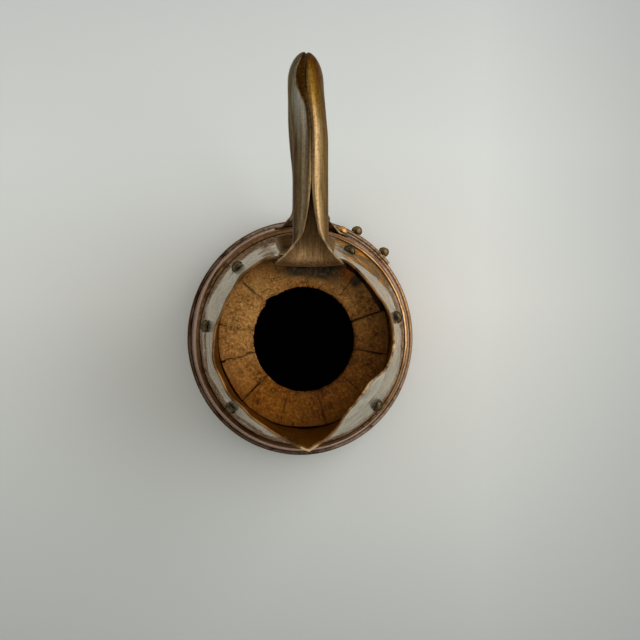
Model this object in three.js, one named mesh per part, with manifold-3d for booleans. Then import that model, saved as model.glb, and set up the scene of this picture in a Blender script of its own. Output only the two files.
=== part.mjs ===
// A coopered wooden pitcher clad in sheet copper, with a white-metal collar and a rolled sheet handle.
// Millimetres, +Z up. The origin is on the vessel's axis at the resting plane, the handle points to +Y
// and the spout to -Y. Angles are in degrees, counted from +X towards +Y.
import * as THREE from "three";
import { mergeVertices } from "three/addons/utils/BufferGeometryUtils.js";
import Module from "manifold-3d";

// Vessel outline, measured outside the sheet metal
const BASE_RADIUS = 73.3;
const WAIST_HEIGHT = 112;
const WAIST_RADIUS = 56.2;
const NECK_BEND_RISE = 33; // above the waist: where the neck curve's two tangents meet
const NECK_BEND_RADIUS = 45.5;
const RIM_HEIGHT = 185;
const RIM_RADIUS = 41;
const OVALITY = 0.02; // share by which the vessel is longer front to back, and narrower side to side

// Sheet metal and the clearances between pieces
const SHEET = 1.2;
const GAP = 0.3;

// Free edge of the collar, bent by hand above the wood: degrees, and how far it leaves the round rim.
// The first and last entry are the tip of the spout.
const SPOUT_ANGLE = -87.4;
const SPOUT_REACH = 10.9;
const RIM_BENDS = [
  [-80, 7.4],
  [-70, 2.3],
  [-60, -1.6],
  [-48, -3.6],
  [-35, -4.2],
  [-27, -2.4],
  [-19, 0.3],
  [-8, 1.6],
  [20, 1.1],
  [32, -0.7],
  [60, -0.3],
  [76, -3.4],
  [90, -4.6],
  [103, -3.5],
  [112, -0.8],
  [131, 0.6],
  [150, -0.2],
  [180, 2.1],
  [199, 3.1],
  [230, 2.4],
  [250, 3.9],
  [261, 6.7],
];
const RIM_BEND_SHARPNESS = 1.35; // 1 bends the free edge evenly, more bends it mostly at the top

// Saddle: the rim is cut lower at the back, where the handle passes over it
const SADDLE_DEPTH = 8;
const SADDLE_FROM = 50;
const SADDLE_TO = 122;
const SADDLE_SLOPE = 17; // degrees over which the rim comes down on each side

// Wooden core
const WOOD_TOP = 170;
const STAVE_THICKNESS = 17.3;
const STAVE_JOINTS = [20, 51, 80, 111, 137, 170, 195, 225, 254, 285, 317, 349];
const BOARD_THICKNESS = 9.7;
const BOARD_HEIGHT = 9.3; // underside of the bottom board
const CROZE_DEPTH = 3; // groove in the staves that holds the board's edge

// Half-round hoop over the joint of collar and body
const HOOP_WIDTH = 3.4;
const HOOP_RISE = 1.3;

// Flat hoop at the foot, with its free end lapped over and riveted
const FOOT_HOOP_FROM = 3;
const FOOT_HOOP_WIDTH = 21;
const FOOT_HOOP_SHEET = 1.4;
const LAP_FROM = 40;
const LAP_TO = 86;
const LAP_RAMP = 8; // degrees in which the outer layer comes down beside the inner one
const LAP_HIDDEN = 2; // degrees by which the inner layer ends short of that
const HOOP_RIVET_ANGLES = [46, 62.3, 78.6];
const HOOP_RIVET_RADIUS = 3.3;
const HOOP_RIVET_RISE = 4.6;

// Domed nails: a head and a round shank driven into the wood
const NAIL_HEAD_RADIUS = 3.3;
const NAIL_HEAD_RISE = 3;
const SHANK_RADIUS = 1.1;
const SHANK_LENGTH = 13;
const HOLE_CLEARANCE = 0.3;
const COLLAR_NAILS = [
  { angle: 12.8, rise: 23 },
  { angle: 62, rise: 21 },
  { angle: 132.5, rise: 27 },
  { angle: 172.6, rise: 19 },
  { angle: 224, rise: 18 },
  { angle: 270, rise: 20 },
  { angle: 318, rise: 15 },
]; // height above the waist

// Plate on the collar's back, under the handle's root
const PLATE_SHEET = 1;
const PLATE_RISE = 9; // lower edge above the waist
const PLATE_GAP = 0.5;
const PLATE_LEFT = 106; // degrees
const PLATE_RIGHT = 71;
const PLATE_CORNER = 9; // radius of its two lower corners
const PLATE_NAILS = [
  { angle: 93, rise: 21 },
  { angle: 80, rise: 21 },
]; // height above the waist

// Handle: one sheet, rolled to a tube whose seam runs along the outside of the loop, opened at both ends
const HANDLE_SHEET = 1.2;
const HANDLE_HALF_WIDTH = 7.5;
const HANDLE_HALF_DEPTH = 11.4;
const HANDLE_EGG = 0.16; // share by which the tube is wider on the inside of the loop than at its middle
const HANDLE_FOOT_DEPTH = 5.5; // half depth where the tube opens to the wings
const HANDLE_REACH = 118.6; // from the axis to the inside of the loop at its far end
const HANDLE_GRIP_HEIGHT = 174.4; // underside of the grip
const HANDLE_OFFSET = 2.9; // to the right of the vessel's middle plane
const HANDLE_BOW = 2.8; // how far its outer end swings back to the left
const HANDLE_BOW_LENGTH = 29; // length of the loop in which it does
const SEAM_GAP = 0.5;
const SEAM_DIP = 0.7; // how far the two edges are turned in along the seam
const SEAM_DIP_WIDTH = 1.6;
const TONGUE_HALF_WIDTH = 15.7; // upper end, over the collar's back
const TONGUE_DISH = 5.5;
const TONGUE_LIP = 0.9; // how far the middle of its edge stands out before the corners
const TONGUE_OPENS = 40; // length in which the tube slowly opens towards the tongue
const TONGUE_FLARES = 14; // length at its end in which it opens the rest of the way
const TONGUE_FLARE = 0.55; // share of the opening that is left to that end
// Inside line of the loop. Over the saddle: outwards and upwards from the saddle's outer edge. Along the
// grip and round the far end: from the farthest point and the grip's underside. Lower leg: from the
// farthest point, and share of the drop from the grip to the wings.
const SADDLE_LINE = [
  [-4.1, -1],
  [-2.8, 1],
  [0, 2.4],
  [5, 2.7],
  [17, 0.8],
];
const GRIP_LINE = [
  [-46, 0],
  [-28, 0],
  [-14, -1.5],
  [-4.5, -7.5],
  [-0.4, -18],
];
const LEG_LINE = [
  [-1.2, 0.25],
  [-8, 0.43],
  [-19, 0.61],
  [-32, 0.78],
  [-44, 0.92],
];
const WING_LEFT = 18.5; // lower end, on the body
const WING_RIGHT = 25;
const WING_TOP = 53;
const WING_BOTTOM = 31;
const WING_OPENS = 14; // length above the wings in which the tube opens
const WING_SETTLES = 4; // length of the wings in which they come to lie on the body
const HANDLE_THINS = 60; // length above the wings in which the tube gets shallower
const WING_NAILS = [
  { side: 21.5, height: 42 },
  { side: 6, height: 36 },
  { side: -3.5, height: 46 },
];

// Steps of the curved surfaces
const RING_STEPS = 60;
const NECK_STEPS = 5;
const FREE_EDGE_STEPS = 4;
const HANDLE_STEPS = 44;
const HANDLE_ACROSS = 18;
const ROUND_STEPS = 10;
const DOME_STEPS = 4;
const STAVE_STEP = 8; // degrees
const PLATE_STEPS = 14;
const CROWN_STEPS = 6; // over the half-round hoop

const wasm = await Module();
wasm.setup();

const radians = THREE.MathUtils.degToRad;
const mix = THREE.MathUtils.lerp;
const smooth = THREE.MathUtils.smoothstep;

// Evenly spaced values from a to b, both included.
function steps(a, b, count) {
  return Array.from({ length: count + 1 }, (_, i) => mix(a, b, i / count));
}

// Point at a distance from the axis, an angle and a height.
function polar(radius, angle, height) {
  return new THREE.Vector3(radius * Math.cos(radians(angle)), radius * Math.sin(radians(angle)), height);
}

// Vessel outline

// A circle of radius 1 seen at this angle, once the vessel is a little longer front to back.
function oval(angle) {
  return 1 / Math.hypot(Math.cos(radians(angle)) / (1 - OVALITY), Math.sin(radians(angle)) / (1 + OVALITY));
}

// Mean radius outside the sheet: a straight cone up to the waist, then a quadratic curve to the rim.
function outlineRadius(height) {
  if (height <= WAIST_HEIGHT) return mix(BASE_RADIUS, WAIST_RADIUS, height / WAIST_HEIGHT);
  const first = 2 * NECK_BEND_RISE;
  const second = RIM_HEIGHT - WAIST_HEIGHT - first;
  const above = height - WAIST_HEIGHT;
  const t = (2 * above) / (first + Math.sqrt(first * first + 4 * second * above));
  return (1 - t) ** 2 * WAIST_RADIUS + 2 * t * (1 - t) * NECK_BEND_RADIUS + t * t * RIM_RADIUS;
}

function bodyRadius(angle, height) {
  return outlineRadius(height) * oval(angle);
}

const bends = [[SPOUT_ANGLE, SPOUT_REACH], ...RIM_BENDS, [SPOUT_ANGLE + 360, SPOUT_REACH]];
const bendCurve = new THREE.CubicInterpolant(
  bends.map(([angle]) => angle),
  bends.map(([, offset]) => offset),
  1,
);

// How far the rim is bent out of its round outline at this angle.
function rimBend(angle) {
  return bendCurve.evaluate(THREE.MathUtils.euclideanModulo(angle - SPOUT_ANGLE, 360) + SPOUT_ANGLE)[0];
}

// Height of the rim, which comes down to the saddle at the back.
function rimHeight(angle) {
  const round = THREE.MathUtils.euclideanModulo(angle, 360);
  const rightSide = smooth(round, SADDLE_FROM, SADDLE_FROM + SADDLE_SLOPE);
  const leftSide = 1 - smooth(round, SADDLE_TO - SADDLE_SLOPE, SADDLE_TO);
  return RIM_HEIGHT - SADDLE_DEPTH * Math.min(rightSide, leftSide);
}

// Outside of the collar: the vessel's outline, with the free edge above the wood bent in and out.
function collarRadius(angle, height) {
  const free = (height - WOOD_TOP) / (rimHeight(angle) - WOOD_TOP);
  const bent = free > 0 ? free ** RIM_BEND_SHARPNESS * rimBend(angle) : 0;
  return bodyRadius(angle, height) + bent;
}

// Solids

// Closed surface through a row of sections with equally many points each. The row closes on itself, or
// its two ends are capped by triangles of point numbers that run the way the section's points do.
function skin(sections, cap = null) {
  const count = sections[0].length;
  const rows = cap ? sections.length - 1 : sections.length;
  const index = [];
  for (let i = 0; i < rows; i++) {
    const here = i * count;
    const there = ((i + 1) % sections.length) * count;
    for (let j = 0; j < count; j++) {
      const k = (j + 1) % count;
      index.push(here + j, here + k, there + k, here + j, there + k, there + j);
    }
  }
  const last = (sections.length - 1) * count;
  for (const [a, b, c] of cap ?? []) index.push(a, c, b, last + a, last + b, last + c);
  return closedGeometry(sections.flat(), index);
}

// Cap for a section that is any flat outline.
function outlineCap(outline) {
  const { area, triangulateShape } = THREE.ShapeUtils;
  const triangles = triangulateShape([...outline], []);
  const sameWay = area(triangles[0].map((i) => outline[i])) * area(outline) > 0;
  return sameWay ? triangles : triangles.map(([a, b, c]) => [a, c, b]);
}

// Cap for a section through sheet: one face's points, then the other face's points in reverse.
function sheetCap(count) {
  const pairs = Array.from({ length: count / 2 - 1 }, (_, i) => i);
  return pairs.flatMap((i) => [
    [i, i + 1, count - 2 - i],
    [i, count - 2 - i, count - 1 - i],
  ]);
}

// Geometry of shared vertices, with its faces turned outward if the sections ran the other way round.
function closedGeometry(points, index) {
  const geometry = new THREE.BufferGeometry().setFromPoints(points);
  let volume = 0;
  for (let i = 0; i < index.length; i += 3) {
    const [a, b, c] = [points[index[i]], points[index[i + 1]], points[index[i + 2]]];
    volume += a.dot(new THREE.Vector3().crossVectors(b, c));
  }
  geometry.setIndex(volume < 0 ? index.toReversed() : index);
  return geometry;
}

// Solid of revolution about Z from (radius, height) pairs that start and end on the axis.
function turned(profile) {
  const points = profile.map(([radius, height]) => new THREE.Vector2(radius, height));
  return new THREE.LatheGeometry(points, ROUND_STEPS).rotateX(Math.PI / 2);
}

// The same, on the vessel's oval plan and as finely stepped as its shell.
function turnedOval(profile) {
  const points = profile.map(([radius, height]) => new THREE.Vector2(radius, height));
  const geometry = new THREE.LatheGeometry(points, RING_STEPS).rotateX(Math.PI / 2);
  return geometry.scale(1 - OVALITY, 1 + OVALITY, 1);
}

function toManifold(geometry) {
  const bare = geometry.clone();
  bare.deleteAttribute("normal");
  bare.deleteAttribute("uv");
  const merged = mergeVertices(bare, 1e-4);
  return new wasm.Manifold(
    new wasm.Mesh({
      numProp: 3,
      vertProperties: new Float32Array(merged.attributes.position.array),
      triVerts: new Uint32Array(merged.index.array),
    }),
  );
}

function fromManifold(solid) {
  const mesh = solid.getMesh();
  const geometry = new THREE.BufferGeometry();
  geometry.setAttribute("position", new THREE.BufferAttribute(mesh.vertProperties, 3));
  geometry.setIndex(new THREE.BufferAttribute(mesh.triVerts, 1));
  return geometry;
}

// The geometry with every one of the cutters taken away.
function drilled(geometry, cutters) {
  let solid = toManifold(geometry);
  for (const cutter of cutters) solid = solid.subtract(toManifold(cutter));
  return fromManifold(solid);
}

// Fastenings

// Place on the vessel's outside, lifted by an amount along the surface's normal, with Z pointing out.
function outsideFrame(angle, height, lift) {
  const probe = 0.5;
  const here = polar(bodyRadius(angle, height), angle, height);
  const upward = polar(bodyRadius(angle, height + probe), angle, height + probe).sub(here);
  const sideways = polar(bodyRadius(angle + probe, height), angle + probe, height).sub(here);
  const normal = new THREE.Vector3().crossVectors(sideways, upward).normalize();
  const turn = new THREE.Quaternion().setFromUnitVectors(new THREE.Vector3(0, 0, 1), normal);
  return new THREE.Matrix4().compose(here.addScaledVector(normal, lift), turn, new THREE.Vector3(1, 1, 1));
}

// Half an ellipse of revolution on top of a shank that ends at -depth.
function domed(radius, rise, depth) {
  const dome = steps(90, 0, DOME_STEPS).map((a) => [radius * Math.cos(radians(a)), rise * Math.sin(radians(a))]);
  dome[0][0] = 0;
  return turned([...dome, [SHANK_RADIUS, 0], [SHANK_RADIUS, -depth], [0, -depth]].reverse());
}

// Ball-headed rivet: the head is most of a ball, on a shank that ends at -depth.
function ballHeaded(radius, rise, depth) {
  const foot = THREE.MathUtils.radToDeg(Math.asin((rise - radius) / radius));
  const centre = rise - radius;
  const ball = steps(90, -foot, DOME_STEPS + 1).map((a) => [
    radius * Math.cos(radians(a)),
    centre + radius * Math.sin(radians(a)),
  ]);
  ball[0][0] = 0;
  return turned([...ball, [SHANK_RADIUS, 0], [SHANK_RADIUS, -depth], [0, -depth]].reverse());
}

// Round bore for a shank, from outside the surface to a depth below it.
function bore(depth) {
  const radius = SHANK_RADIUS + HOLE_CLEARANCE;
  const above = 4;
  const cylinder = new THREE.CylinderGeometry(radius, radius, depth + above, ROUND_STEPS);
  return cylinder.rotateX(Math.PI / 2).translate(0, 0, (above - depth) / 2);
}

const nailDepth = SHANK_LENGTH + GAP;
const collarNails = COLLAR_NAILS.map(({ angle, rise }) => outsideFrame(angle, WAIST_HEIGHT + rise, GAP));
const plateNails = PLATE_NAILS.map(({ angle, rise }) =>
  outsideFrame(angle, WAIST_HEIGHT + rise, PLATE_GAP + PLATE_SHEET + GAP),
);

// Where a nail at a sideways distance from the handle's middle goes through the wing on the body.
const wingNails = WING_NAILS.map(({ side, height }) => {
  const across = HANDLE_OFFSET + side;
  const angle = THREE.MathUtils.radToDeg(Math.acos(across / bodyRadius(90, height)));
  return outsideFrame(angle, height, GAP + HANDLE_SHEET + GAP);
});
const nailBores = [...collarNails, ...plateNails, ...wingNails].map((frame) =>
  bore(nailDepth + 2 * GAP).applyMatrix4(frame),
);

// Wooden core

const woodGap = SHEET + GAP;
const woodBottom = SHEET + GAP;
const neckHeights = steps(WAIST_HEIGHT, WOOD_TOP, NECK_STEPS);

// Section of a stave as (radius, height) pairs: up the outside, then down the bore past the croze.
function staveProfile() {
  const outside = [woodBottom, ...neckHeights].map((height) => [outlineRadius(height) - woodGap, height]);
  const inside = [...neckHeights].reverse().map((height) => [boreRadius(height), height]);
  const grooveTop = BOARD_HEIGHT + BOARD_THICKNESS + GAP;
  const grooveBottom = BOARD_HEIGHT - GAP;
  const groove = [
    [boreRadius(grooveTop), grooveTop],
    [boreRadius(grooveTop) + CROZE_DEPTH, grooveTop],
    [boreRadius(grooveBottom) + CROZE_DEPTH, grooveBottom],
    [boreRadius(grooveBottom), grooveBottom],
    [boreRadius(woodBottom), woodBottom],
  ];
  return [...outside, ...inside, ...groove];
}

function boreRadius(height) {
  return outlineRadius(height) - woodGap - STAVE_THICKNESS;
}

// One stave between two joints, its side faces set back by half a gap from the joint planes.
function stave(from, to) {
  const profile = staveProfile();
  const sections = steps(0, 1, Math.ceil((to - from) / STAVE_STEP)).map((t) =>
    profile.map(([radius, height]) => {
      const setBack = THREE.MathUtils.radToDeg(GAP / 2 / radius);
      const angle = mix(from + setBack, to - setBack, t);
      return polar(radius * oval(angle), angle, height);
    }),
  );
  return skin(sections, outlineCap(profile.map(([radius, height]) => new THREE.Vector2(radius, height))));
}

function bottomBoard() {
  const bevel = 2;
  const top = BOARD_HEIGHT + BOARD_THICKNESS;
  const edge = boreRadius(top) + CROZE_DEPTH - GAP;
  return turnedOval([
    [0, BOARD_HEIGHT],
    [edge - bevel, BOARD_HEIGHT],
    [edge, BOARD_HEIGHT + bevel],
    [edge, top],
    [0, top],
  ]);
}

// Sheet metal of the vessel

// Ring of sheet between two heights, from its outer radius at each angle and height.
function sheetRing(rowsAt, radiusAt, sheet) {
  const sections = steps(SPOUT_ANGLE, SPOUT_ANGLE + 360, RING_STEPS)
    .slice(0, -1)
    .map((angle) => {
      const rows = rowsAt(angle);
      const outside = rows.map((height) => polar(radiusAt(angle, height), angle, height));
      const inside = rows.map((height) => polar(radiusAt(angle, height) - sheet, angle, height));
      return [...outside, ...inside.reverse()];
    });
  return skin(sections);
}

function basePlate() {
  const edge = outlineRadius(0) - GAP;
  return turnedOval([
    [0, 0],
    [edge, 0],
    [edge, SHEET],
    [0, SHEET],
  ]);
}

function bodyShell() {
  const rows = [woodBottom, WAIST_HEIGHT - GAP / 2];
  return sheetRing(() => rows, bodyRadius, SHEET);
}

function collar() {
  const rowsAt = (angle) => [
    WAIST_HEIGHT + GAP / 2,
    ...neckHeights.slice(1),
    ...steps(WOOD_TOP, rimHeight(angle), FREE_EDGE_STEPS).slice(1),
  ];
  return sheetRing(rowsAt, collarRadius, SHEET);
}

// Half-round wire, its flat side bent to the outline below and above the waist.
function waistHoop() {
  const low = WAIST_HEIGHT - HOOP_WIDTH / 2;
  const high = WAIST_HEIGHT + HOOP_WIDTH / 2;
  const sections = steps(0, 360, RING_STEPS)
    .slice(0, -1)
    .map((angle) => {
      const back = [low, WAIST_HEIGHT, high].map((height) =>
        polar(bodyRadius(angle, height) + GAP, angle, height),
      );
      const crown = steps(0, 180, CROWN_STEPS)
        .slice(1, -1)
        .map((a) => {
          const height = WAIST_HEIGHT + (HOOP_WIDTH / 2) * Math.cos(radians(a));
          const rise = HOOP_RISE * Math.sin(radians(a));
          return polar(bodyRadius(angle, height) + GAP + rise, angle, height);
        });
      return [...back, ...crown];
    });
  return skin(sections);
}

// Flat hoop that starts as the outer layer at its free end, comes down beside the lap and runs once
// round the foot to end as the inner layer.
function footHoop() {
  const layer = FOOT_HOOP_SHEET + GAP;
  const innerEnd = 360 + LAP_TO - LAP_HIDDEN;
  const rows = [FOOT_HOOP_FROM, FOOT_HOOP_FROM + FOOT_HOOP_WIDTH];
  const sections = steps(LAP_FROM, innerEnd, RING_STEPS + 10).map((angle) => {
    const lift = GAP + layer * (1 - smooth(angle, LAP_TO, LAP_TO + LAP_RAMP));
    const inside = rows.map((height) => polar(bodyRadius(angle, height) + lift, angle, height));
    const outside = rows.map((height) =>
      polar(bodyRadius(angle, height) + lift + FOOT_HOOP_SHEET, angle, height),
    );
    return [...inside, ...outside.reverse()];
  });
  return skin(sections, sheetCap(sections[0].length));
}

const lapThickness = 2 * FOOT_HOOP_SHEET + GAP;
const hoopRivets = HOOP_RIVET_ANGLES.map((angle) =>
  outsideFrame(angle, FOOT_HOOP_FROM + FOOT_HOOP_WIDTH / 2, GAP + lapThickness + GAP),
);

// Plate on the collar's back with its two lower corners rounded off.
function handlePlate() {
  const middle = (PLATE_LEFT + PLATE_RIGHT) / 2;
  const halfAngle = (PLATE_LEFT - PLATE_RIGHT) / 2;
  const plateFrom = WAIST_HEIGHT + PLATE_RISE;
  const halfWidth = radians(halfAngle) * outlineRadius(plateFrom);
  const lowerEdge = (share) => {
    const intoCorner = Math.max(0, Math.abs(share) * halfWidth - (halfWidth - PLATE_CORNER));
    return plateFrom + PLATE_CORNER - Math.sqrt(PLATE_CORNER ** 2 - intoCorner ** 2);
  };
  const across = steps(-90, 90, PLATE_STEPS).map((a) => Math.sin(radians(a)));
  const sections = across.map((share) => {
    const angle = middle - share * halfAngle;
    const bottom = lowerEdge(share);
    const onNeck = neckHeights.filter((height) => height > plateFrom + PLATE_CORNER);
    const rows = [bottom, ...onNeck, ...steps(WOOD_TOP, rimHeight(angle), FREE_EDGE_STEPS).slice(1)];
    const inside = rows.map((height) => polar(collarRadius(angle, height) + PLATE_GAP, angle, height));
    const outside = rows.map((height) =>
      polar(collarRadius(angle, height) + PLATE_GAP + PLATE_SHEET, angle, height),
    );
    return [...inside, ...outside.reverse()];
  });
  return skin(sections, sheetCap(sections[0].length));
}

// Handle

const saddleHeight = RIM_HEIGHT - SADDLE_DEPTH;
const backRadius = collarRadius(90, saddleHeight);

function wingLine(height) {
  return bodyRadius(90, height) + GAP + HANDLE_SHEET / 2;
}

// Inside line of the loop in the handle's own plane, as (distance from the axis, height).
function handleLine() {
  const drop = HANDLE_GRIP_HEIGHT - WING_TOP;
  const points = [
    ...SADDLE_LINE.map(([out, up]) => [backRadius + out, saddleHeight + up]),
    ...GRIP_LINE.map(([out, up]) => [HANDLE_REACH + out, HANDLE_GRIP_HEIGHT + up]),
    ...LEG_LINE.map(([out, share]) => [HANDLE_REACH + out, HANDLE_GRIP_HEIGHT - share * drop]),
    ...steps(WING_TOP, WING_BOTTOM, 2).map((height) => [wingLine(height), height]),
  ];
  return new THREE.CatmullRomCurve3(points.map(([reach, height]) => new THREE.Vector3(0, reach, height)));
}

// Across the rolled tube, from seam to seam: v runs from -1 to 1, the loop's inside is at v = 0.
function tubeSection(v, halfDepth) {
  const half = Math.PI - Math.asin(SEAM_GAP / 2 / HANDLE_HALF_WIDTH);
  const x = HANDLE_HALF_WIDTH * Math.sin(half * v) * (1 + HANDLE_EGG * Math.cos(half * v));
  const dip = Math.abs(v) > 0.5 ? SEAM_DIP * Math.exp(-((x / SEAM_DIP_WIDTH) ** 2)) : 0;
  return [x, halfDepth * (1 - Math.cos(half * v)) - dip];
}

// Middle surface of the handle's sheet, as rows of points across it.
function handleGrid() {
  const line = handleLine();
  const length = line.getLength();
  return steps(0, 1, HANDLE_STEPS).map((u) => {
    const along = u * length;
    const slowly = Math.max(0, 1 - along / TONGUE_OPENS) ** 1.5;
    const asTongue = mix(slowly, 1 - smooth(along, 2, TONGUE_FLARES), TONGUE_FLARE);
    const wingStart = length - (WING_TOP - WING_BOTTOM);
    const asWing = smooth(along, wingStart - WING_OPENS, wingStart + WING_SETTLES);
    const thinned = smooth(along, wingStart - HANDLE_THINS, wingStart);
    const halfDepth = mix(HANDLE_HALF_DEPTH, HANDLE_FOOT_DEPTH, thinned);
    const tangent = line.getTangentAt(u);
    const outward = new THREE.Vector3(0, -tangent.z, tangent.y);
    return steps(-1, 1, HANDLE_ACROSS).map((v) => {
      const [tubeX, tubeRise] = tubeSection(v, halfDepth);
      const wingX = (v < 0 ? WING_LEFT : WING_RIGHT) * v;
      const wingRise = -(wingX ** 2) / bodyRadius(90, WING_BOTTOM);
      const asTube = 1 - asTongue - asWing;
      const x = asTube * tubeX + asTongue * TONGUE_HALF_WIDTH * v + asWing * wingX;
      const point = line.getPointAt(u).addScaledVector(outward, asTube * tubeRise + asWing * wingRise);
      const bow = HANDLE_BOW * smooth(point.y, HANDLE_REACH - HANDLE_BOW_LENGTH, HANDLE_REACH);
      point.x = HANDLE_OFFSET - bow + x;
      point.y += asTongue * TONGUE_LIP * v * v;
      point.z += asTongue * TONGUE_DISH * v * v;
      return onBody(point);
    });
  });
}

// A point of the wings that would lie in the body is brought out to the body's surface.
function onBody(point) {
  if (point.z > WAIST_HEIGHT) return point;
  const angle = THREE.MathUtils.radToDeg(Math.atan2(point.y, point.x));
  const least = bodyRadius(angle, point.z) + GAP + HANDLE_SHEET / 2;
  const radius = Math.hypot(point.x, point.y);
  return radius < least ? polar(least, angle, point.z) : point;
}

// Solid sheet about a grid of middle-surface points.
function sheetAbout(grid, sheet) {
  const rows = grid.length - 1;
  const across = grid[0].length - 1;
  const difference = (a, b) => new THREE.Vector3().subVectors(b, a);
  const normalAt = (i, j) => {
    const alongRow = difference(grid[Math.max(i - 1, 0)][j], grid[Math.min(i + 1, rows)][j]);
    const acrossRow = difference(grid[i][Math.max(j - 1, 0)], grid[i][Math.min(j + 1, across)]);
    return alongRow.cross(acrossRow).normalize();
  };
  const sections = grid.map((row, i) => {
    const side = (sign) =>
      row.map((point, j) => point.clone().addScaledVector(normalAt(i, j), (sign * sheet) / 2));
    return [...side(1), ...side(-1).reverse()];
  });
  return skin(sections, sheetCap(sections[0].length));
}

// The assembly

const finishes = {
  wood: { color: 0x9c6b38, roughness: 0.8, metalness: 0 },
  copper: { color: 0x8a6a52, roughness: 0.35, metalness: 1 },
  tinned: { color: 0x9a9488, roughness: 0.3, metalness: 1 },
  bronze: { color: 0x6e5836, roughness: 0.4, metalness: 1 },
  iron: { color: 0x3a3126, roughness: 0.45, metalness: 1 },
};

const pitcher = new THREE.Group();

function add(name, finish, geometry, frame = null) {
  const mesh = new THREE.Mesh(geometry, new THREE.MeshStandardMaterial(finishes[finish]));
  mesh.name = name;
  if (frame) frame.decompose(mesh.position, mesh.quaternion, mesh.scale);
  pitcher.add(mesh);
}

const numbered = (name, i) => `${name}_${String(i + 1).padStart(2, "0")}`;

add("base_plate", "copper", basePlate());
add("bottom_board", "wood", bottomBoard());
STAVE_JOINTS.forEach((from, i) => {
  const to = i + 1 < STAVE_JOINTS.length ? STAVE_JOINTS[i + 1] : STAVE_JOINTS[0] + 360;
  add(numbered("stave", i), "wood", drilled(stave(from, to), nailBores));
});
add("body_shell", "copper", drilled(bodyShell(), nailBores));
add("collar", "tinned", drilled(collar(), nailBores));
add("waist_hoop", "copper", waistHoop());
const rivetBores = hoopRivets.map((frame) => bore(lapThickness + 2 * GAP).applyMatrix4(frame));
add("foot_hoop", "copper", drilled(footHoop(), rivetBores));
hoopRivets.forEach((frame, i) => {
  const rivet = ballHeaded(HOOP_RIVET_RADIUS, HOOP_RIVET_RISE, lapThickness + GAP);
  add(numbered("hoop_rivet", i), "iron", rivet, frame);
});
collarNails.forEach((frame, i) => {
  add(numbered("collar_nail", i), "iron", domed(NAIL_HEAD_RADIUS, NAIL_HEAD_RISE, nailDepth), frame);
});
add("handle_plate", "bronze", drilled(handlePlate(), nailBores));
plateNails.forEach((frame, i) => {
  add(numbered("plate_nail", i), "iron", domed(NAIL_HEAD_RADIUS, NAIL_HEAD_RISE, nailDepth), frame);
});
add("handle", "bronze", drilled(sheetAbout(handleGrid(), HANDLE_SHEET), nailBores));
wingNails.forEach((frame, i) => {
  add(numbered("wing_nail", i), "iron", domed(NAIL_HEAD_RADIUS, NAIL_HEAD_RISE, nailDepth), frame);
});

export default pitcher;
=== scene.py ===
import bpy
import numpy as np
from mathutils import Matrix, Vector


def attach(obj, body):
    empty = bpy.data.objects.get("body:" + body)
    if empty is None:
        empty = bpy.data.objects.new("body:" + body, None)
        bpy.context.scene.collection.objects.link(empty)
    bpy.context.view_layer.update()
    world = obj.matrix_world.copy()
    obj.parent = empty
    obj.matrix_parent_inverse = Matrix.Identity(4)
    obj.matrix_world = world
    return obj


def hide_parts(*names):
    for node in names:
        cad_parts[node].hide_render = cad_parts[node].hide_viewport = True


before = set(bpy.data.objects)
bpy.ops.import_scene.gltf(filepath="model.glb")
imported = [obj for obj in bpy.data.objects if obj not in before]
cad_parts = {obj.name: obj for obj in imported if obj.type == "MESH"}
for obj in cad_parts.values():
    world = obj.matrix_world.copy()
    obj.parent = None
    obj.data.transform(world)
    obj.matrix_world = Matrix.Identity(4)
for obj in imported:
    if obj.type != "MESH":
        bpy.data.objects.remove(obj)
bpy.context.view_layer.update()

# Camera
# The photograph was taken from nearly straight above the pitcher. The lens is a guess that suits its rings.
EYE = Vector((-0.0061, 0.0024, 0.626))
AIM = Vector((0.0128, 0.0115, 0.0))
LENS_MM = 54
SENSOR_MM = 36

camera_data = bpy.data.cameras.new("camera")
camera_data.lens = LENS_MM
camera_data.sensor_width = SENSOR_MM
camera = bpy.data.objects.new("camera", camera_data)
bpy.context.collection.objects.link(camera)
forward = (AIM - EYE).normalized()
right = forward.cross(Vector((0, 1, 0))).normalized()
axes = Matrix((right, right.cross(forward), -forward)).transposed().to_4x4()
camera.matrix_world = Matrix.Translation(EYE) @ axes
bpy.context.scene.camera = camera
bpy.context.scene.view_settings.view_transform = "Standard"


# Wooden staves
# Twelve tapering oak staves, sawn across at the top and set edge to edge. Their end grain is stained by
# drink and handling, and the joints are dark uneven cracks. Near-black painted shade lies down the bore,
# along the collar wall, in the shadow gap at the back right and under the handle's tongue.
BASE_RADIUS = 73.3
WAIST_HEIGHT = 112
WAIST_RADIUS = 56.2
NECK_BEND_RISE = 33
NECK_BEND_RADIUS = 45.5
RIM_HEIGHT = 185
RIM_RADIUS = 41
OVALITY = 0.02
SHEET = 1.2
GAP = 0.3
WOOD_TOP = 170
STAVE_THICKNESS = 17.3
STAVE_JOINTS = [20, 51, 80, 111, 137, 170, 195, 225, 254, 285, 317, 349]
STAVES = len(STAVE_JOINTS)
JOINT_OPENNESS = [1.2, 0.1, 0.2, 0.3, 0.6, 0.8, 1.2, 1, 0.3, 0.5, 0, 1]
BOARD_HEIGHT = 9.3
BOARD_THICKNESS = 9.7
CROZE_DEPTH = 3


def linear(hex_colour):
    """Linear RGBA of an sRGB hex colour: a channel is divided by 12.92 below 0.04, and above it is the
    2.4th power of (channel + 0.055) / 1.055."""
    channels = np.array([int(hex_colour[i : i + 2], 16) for i in (1, 3, 5)]) / 255
    return (*np.where(channels < 0.04045, channels / 12.92, ((channels + 0.055) / 1.055) ** 2.4), 1)


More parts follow.
